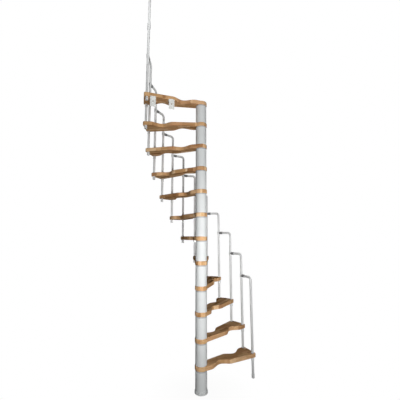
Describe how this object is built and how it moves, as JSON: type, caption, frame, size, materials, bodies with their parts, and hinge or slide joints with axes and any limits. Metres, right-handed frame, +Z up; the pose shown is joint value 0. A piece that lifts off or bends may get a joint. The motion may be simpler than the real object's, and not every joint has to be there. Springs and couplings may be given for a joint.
{
  "type": "spiral staircase",
  "caption": "Space-saving spiral stair: alternating wavy beech treads clamped on a steel column, with bent rod balusters whose arms join into a stepped handrail.",
  "frame": {"origin": "middle of the column's foot, on the floor", "axes": "+Z up along the column; the first baluster stands 24.7 degrees from +X towards +Y, and the stair climbs counter-clockwise seen from above"},
  "size_m": [1.1522, 0.8331, 3.92],
  "materials": {
    "column_paint": "satin silver-grey paint",
    "rod_paint": "satin silver-grey paint",
    "beech": "lacquered laminated beech",
    "dark_plastic": "moulded grey plastic",
    "light_metal": "satin light grey",
    "cap_plastic": "moulded light grey plastic",
    "galvanised": "bright zinc plated",
    "plain_steel": "plain steel"
  },
  "bodies": {
    "root": {"base_plate": "column_paint", "levelling_rings": "cap_plastic", "tie_rod": "plain_steel", "column_cap": "column_paint", "spacer_01": "column_paint", "spacer_02": "column_paint", "spacer_03": "column_paint", "spacer_04": "column_paint", "spacer_05": "column_paint", "spacer_06": "column_paint", "spacer_07": "column_paint", "spacer_08": "column_paint", "spacer_09": "column_paint", "spacer_10": "column_paint", "spacer_11": "column_paint", "spacer_12": "column_paint", "tread_01": "beech", "tread_02": "beech", "tread_03": "beech", "tread_04": "beech", "tread_05": "beech", "tread_06": "beech", "tread_07": "beech", "tread_08": "beech", "tread_09": "beech", "tread_10": "beech", "tread_11": "beech", "tread_12": "beech", "baluster_01": "rod_paint", "baluster_02": "rod_paint", "baluster_03": "rod_paint", "baluster_04": "rod_paint", "baluster_05": "rod_paint", "baluster_06": "rod_paint", "baluster_07": "rod_paint", "baluster_08": "rod_paint", "baluster_09": "rod_paint", "baluster_10": "rod_paint", "baluster_11": "rod_paint", "baluster_12": "rod_paint", "baluster_13": "rod_paint", "arm_connectors": "dark_plastic", "shaft_rings": "rod_paint", "tread_ferrules": "light_metal", "end_caps": "cap_plastic", "floor_brackets": "galvanised"}
  },
  "joints": []
}
